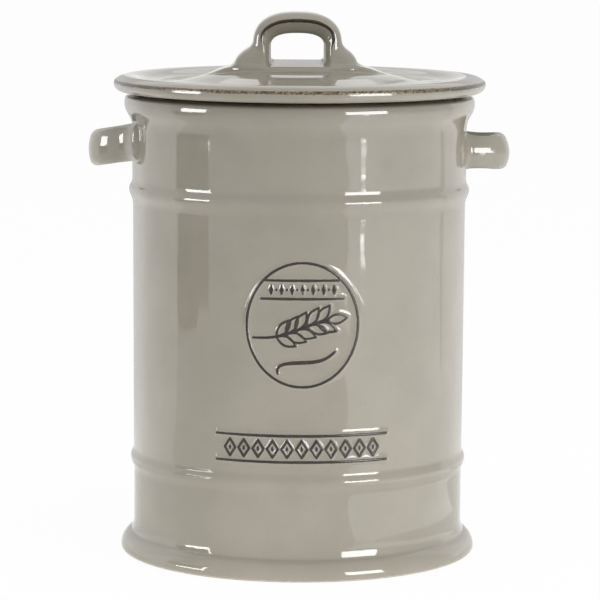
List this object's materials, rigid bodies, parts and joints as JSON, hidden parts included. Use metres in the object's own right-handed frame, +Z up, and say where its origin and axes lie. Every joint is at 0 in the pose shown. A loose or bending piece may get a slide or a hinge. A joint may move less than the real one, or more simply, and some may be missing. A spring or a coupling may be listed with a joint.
{
  "type": "biscuit jar",
  "caption": "Round glazed ceramic keeper with ribs, a flared foot, strap ears and a lift-off lid with an arched handle and a silicone seal.",
  "frame": {"origin": "middle of the foot, on the surface that the jar stands on", "axes": "+Z up along the jar's axis; the decorated front faces -Y; the ears point along -X and +X"},
  "size_m": [0.1864, 0.164, 0.2393],
  "materials": {
    "grey_glaze": "glossy warm grey glaze, worn to brown on sharp edges",
    "stained_relief": "glossy glaze that breaks to dark brown over raised lines",
    "seal_silicone": "satin translucent white silicone"
  },
  "bodies": {
    "jar": {"jar_body": "grey_glaze", "left_ear": "grey_glaze", "right_ear": "grey_glaze", "front_roundel": "stained_relief", "front_band": "stained_relief"},
    "seal": {"lid_seal": "seal_silicone"},
    "lid": {"lid_disc": "grey_glaze", "lid_handle": "grey_glaze"}
  },
  "joints": [
    {"name": "lid_lift", "type": "slide", "parent": "jar", "child": "seal", "axis": [0, 0, 1], "range_m": [0, 0.12]},
    {"name": "lid_turn", "type": "hinge", "parent": "seal", "child": "lid", "pos_m": [0, 0, 0.2], "axis": [0, 0, 1], "continuous": true}
  ]
}
